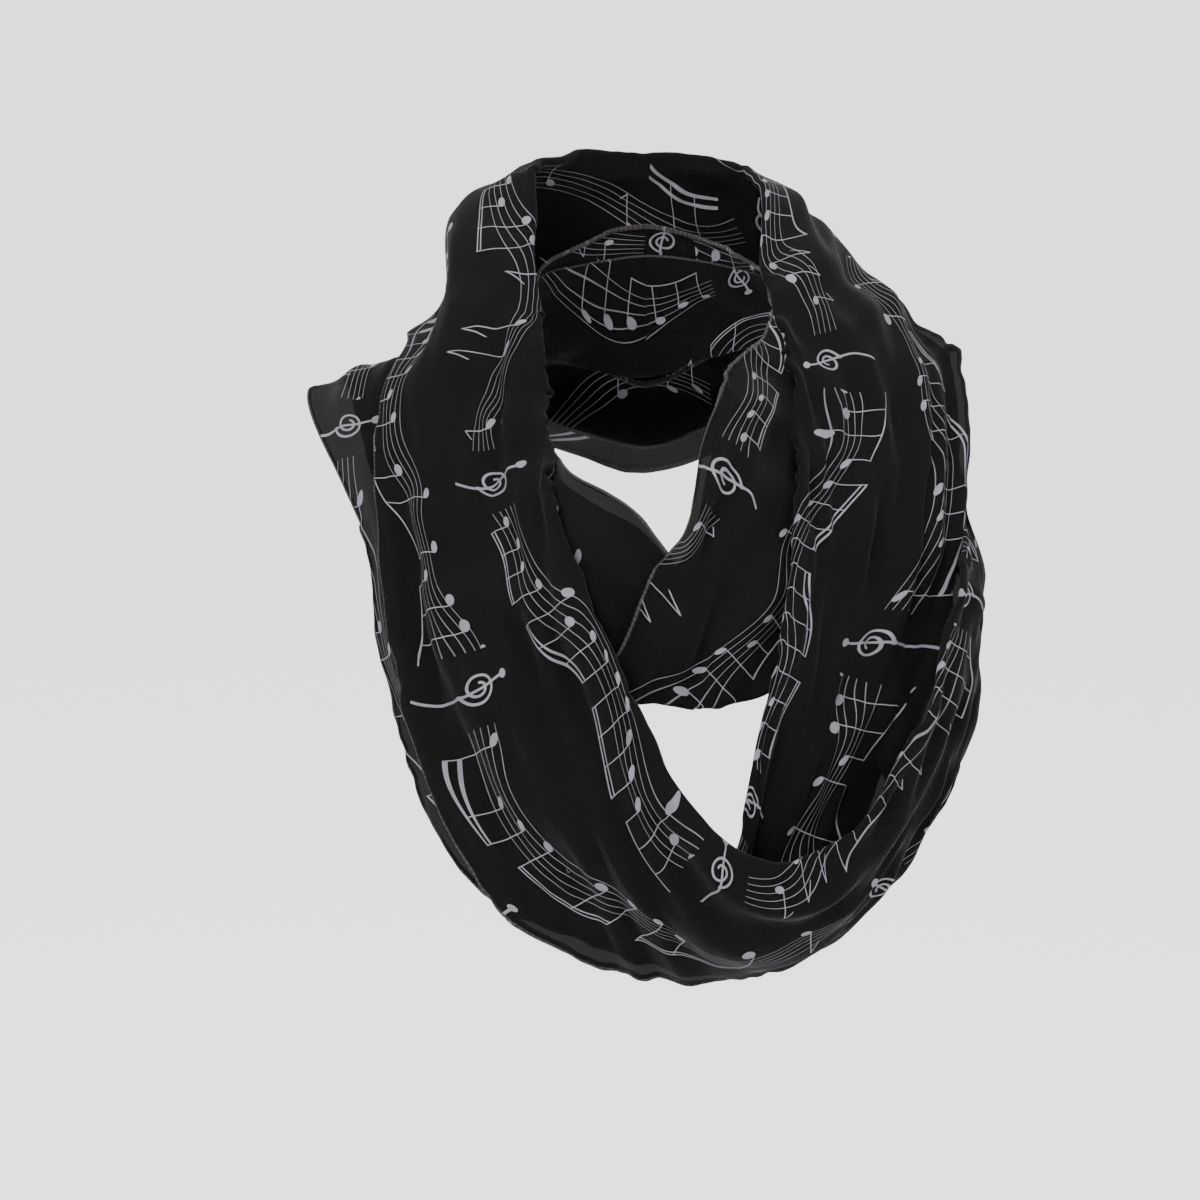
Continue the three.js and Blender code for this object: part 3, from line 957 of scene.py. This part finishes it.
def voile_material():
    """Sheer black voile: crepe grain and weave in the bump, and the grey-lilac print."""
    material = bpy.data.materials.new("printed_voile")
    material.use_nodes = True
    tree = material.node_tree
    shader = tree.nodes["Principled BSDF"]
    shader.inputs["Roughness"].default_value = 0.85
    shader.inputs["Alpha"].default_value = 0.9
    shader.inputs["Sheen Weight"].default_value = 0.055
    shader.inputs["Sheen Roughness"].default_value = 0.45
    shader.inputs["Sheen Tint"].default_value = SHEEN_COLOUR
    shader.inputs["Specular IOR Level"].default_value = 0.04
    uv = tree.nodes.new("ShaderNodeUVMap")
    uv.uv_map = "cloth"
    place = uv.outputs[0]
    parts = tree.nodes.new("ShaderNodeSeparateXYZ")
    tree.links.new(place, parts.inputs[0])
    along = Field(tree, parts.outputs[0]) / MM
    down = Field(tree, parts.outputs[1]) / MM

    coverage = print_mask(tree, along, down) * (noise(tree, place, BLOTCH_SCALE, 4) * INK_CHANGE + INK_LEAST)
    coverage.socket.node.use_clamp = True
    ground = mixed_colour(tree, noise(tree, place, CLOUD_SCALE, 2), GROUND_DARK, GROUND_LIGHT)
    printed = mixed_colour(tree, coverage, ground, PRINT_COLOUR)
    hem_place = tree.nodes.new("ShaderNodeAttribute")
    hem_place.attribute_name = "hem"
    on_hem = Field(tree, hem_place.outputs["Fac"]) > HEM_LEAST
    stitched = on_hem * ((wave(along, STITCH_LENGTH) > 0.0) * 0.5 + 0.5)
    tree.links.new(mixed_colour(tree, stitched, printed, HEM_COLOUR), shader.inputs["Base Color"])

    warp = wave(along, THREAD) * 0.5 + 0.5
    weft = wave(down, THREAD) * 0.5 + 0.5
    grain = warp * weft * WEAVE_SHARE + noise(tree, place, CREPE_SCALE, 3)
    bump = tree.nodes.new("ShaderNodeBump")
    bump.inputs["Strength"].default_value = 0.05
    bump.inputs["Distance"].default_value = 0.0002
    tree.links.new(grain.socket, bump.inputs["Height"])
    tree.links.new(bump.outputs[0], shader.inputs["Normal"])
    return material


def finish_cloth(piece, material, nodes):
    """Gives a piece its cloth, hangs it on the root body and hides the parts of the model that it stands for.
    """
    piece.data.materials.clear()
    piece.data.materials.append(material)
    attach(piece, "root")
    if nodes:
        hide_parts(*nodes)


def camera_and_light():
    """The photograph's view, from a little above the front, and soft studio light."""
    look_down = math.radians(CAMERA_LOOKS_DOWN)
    camera = bpy.data.objects.new("camera", bpy.data.cameras.new("camera"))
    bpy.context.collection.objects.link(camera)
    camera.location = (
        CAMERA_AIM[0],
        CAMERA_AIM[1] - CAMERA_DISTANCE * math.cos(look_down),
        CAMERA_AIM[2] + CAMERA_DISTANCE * math.sin(look_down),
    )
    camera.rotation_euler = (math.pi / 2 - look_down, 0, 0)
    camera.data.sensor_width = 36
    camera.data.lens = camera.data.sensor_width * CAMERA_DISTANCE / (PHOTO_PIXELS * PIXEL_SIZE * MM)
    bpy.context.scene.camera = camera

    for name, place, size, power in (
        ("key_light", (-1.1, -1.9, 1.7), 1.6, 130),
        ("fill_light", (1.7, -1.5, 0.7), 1.8, 34),
        ("top_light", (0.2, 0.9, 1.9), 1.4, 38),
    ):
        light = bpy.data.lights.new(name, "AREA")
        light.size = size
        light.energy = power
        lamp = bpy.data.objects.new(name, light)
        bpy.context.collection.objects.link(lamp)
        lamp.location = place
        direction = -np.array(place)
        lamp.rotation_euler = (
            math.atan2(math.hypot(direction[0], direction[1]), -direction[2]),
            0,
            math.atan2(direction[1], direction[0]) - math.pi / 2,
        )

    world = bpy.data.worlds.new("studio")
    bpy.context.scene.world = world
    world.use_nodes = True
    world.node_tree.nodes["Background"].inputs[0].default_value = (1, 1, 1, 1)
    world.node_tree.nodes["Background"].inputs[1].default_value = 2.3


def floor():
    """A plain pale floor at the height of a standing wearer's feet."""
    bpy.ops.object.select_all(action="DESELECT")
    bpy.ops.mesh.primitive_plane_add(size=FLOOR_SIZE, location=(0, 0, FLOOR_HEIGHT))
    plane = bpy.context.object
    plane.name = "floor"
    material = bpy.data.materials.new("pale_floor")
    material.use_nodes = True
    shader = material.node_tree.nodes["Principled BSDF"]
    shader.inputs["Base Color"].default_value = (0.93, 0.93, 0.93, 1)
    shader.inputs["Roughness"].default_value = 0.9
    plane.data.materials.append(material)


camera_and_light()
floor()

outer_turn = Turn(
    OUTER_SECTIONS, OUTER_FOLDS, OUTER_CREASES, OUTER_EDGES, OUTER_START, OUTER_END, OUTER_PERIOD, False
)
inner_turn = Turn(INNER_SECTIONS, INNER_FOLDS, INNER_CREASES, INNER_EDGES, *INNER_RANGE, 360, True)
tuck_turn = Turn(TUCK_SECTIONS, TUCK_FOLDS, TUCK_CREASES, TUCK_EDGES, *TUCK_RANGE, 0, False)

voile = voile_material()
over_fold = turn_mesh("over_fold", outer_turn, OVER_START, OUTER_END, FOLD_BACK_COLUMNS, HEM_BACK_COLUMNS)
over_nodes = ("high_fold_right", "cowl_front", "low_fold_left", "nape_low")
finish_cloth(over_fold, voile, over_nodes)
under_fold = turn_mesh("under_fold", outer_turn, OUTER_START, OVER_START, FOLD_BACK_COLUMNS, HEM_BACK_COLUMNS)
under_nodes = ("low_fold_right", "cowl_under", "high_fold_left", "nape_high")
finish_cloth(under_fold, voile, under_nodes)
fold_link = link_mesh("fold_link", outer_turn)
finish_cloth(fold_link, voile, ())
inner_cloth = turn_mesh("inner_turn", inner_turn, *INNER_RANGE, HEM_BACK_COLUMNS, INNER_BACK_COLUMNS)
finish_cloth(inner_cloth, voile, ("inner_front", "inner_nape", "inner_right"))
tuck_cloth = turn_mesh("inner_tuck_cloth", tuck_turn, *TUCK_RANGE, TUCK_HEM_COLUMNS, TUCK_BACK_COLUMNS)
finish_cloth(tuck_cloth, voile, ("inner_tuck",))
